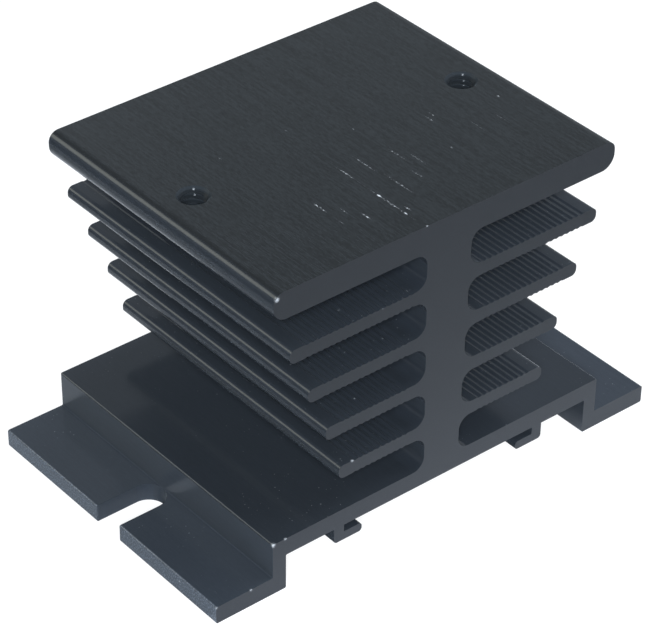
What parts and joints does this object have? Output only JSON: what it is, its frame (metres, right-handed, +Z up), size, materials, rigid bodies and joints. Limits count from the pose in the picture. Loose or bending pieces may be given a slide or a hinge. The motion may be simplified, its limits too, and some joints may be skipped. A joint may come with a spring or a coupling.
{
  "type": "heat sink",
  "caption": "Black extruded aluminium heat sink: flat tapped top plate on a web with ribbed fins, on a hat-shaped base with slotted flanges and a rail channel.",
  "frame": {"origin": "middle of the foot: half way along the length and across the width, at the underside of the flanges", "axes": "+Z up through the top plate, +Y along the extrusion, +X across the fins"},
  "size_m": [0.08, 0.05, 0.05],
  "materials": {
    "black_anodised": "black anodised, drawn lines along the extrusion, sawn ends"
  },
  "bodies": {
    "root": {"heat_sink": "black_anodised"}
  },
  "joints": []
}
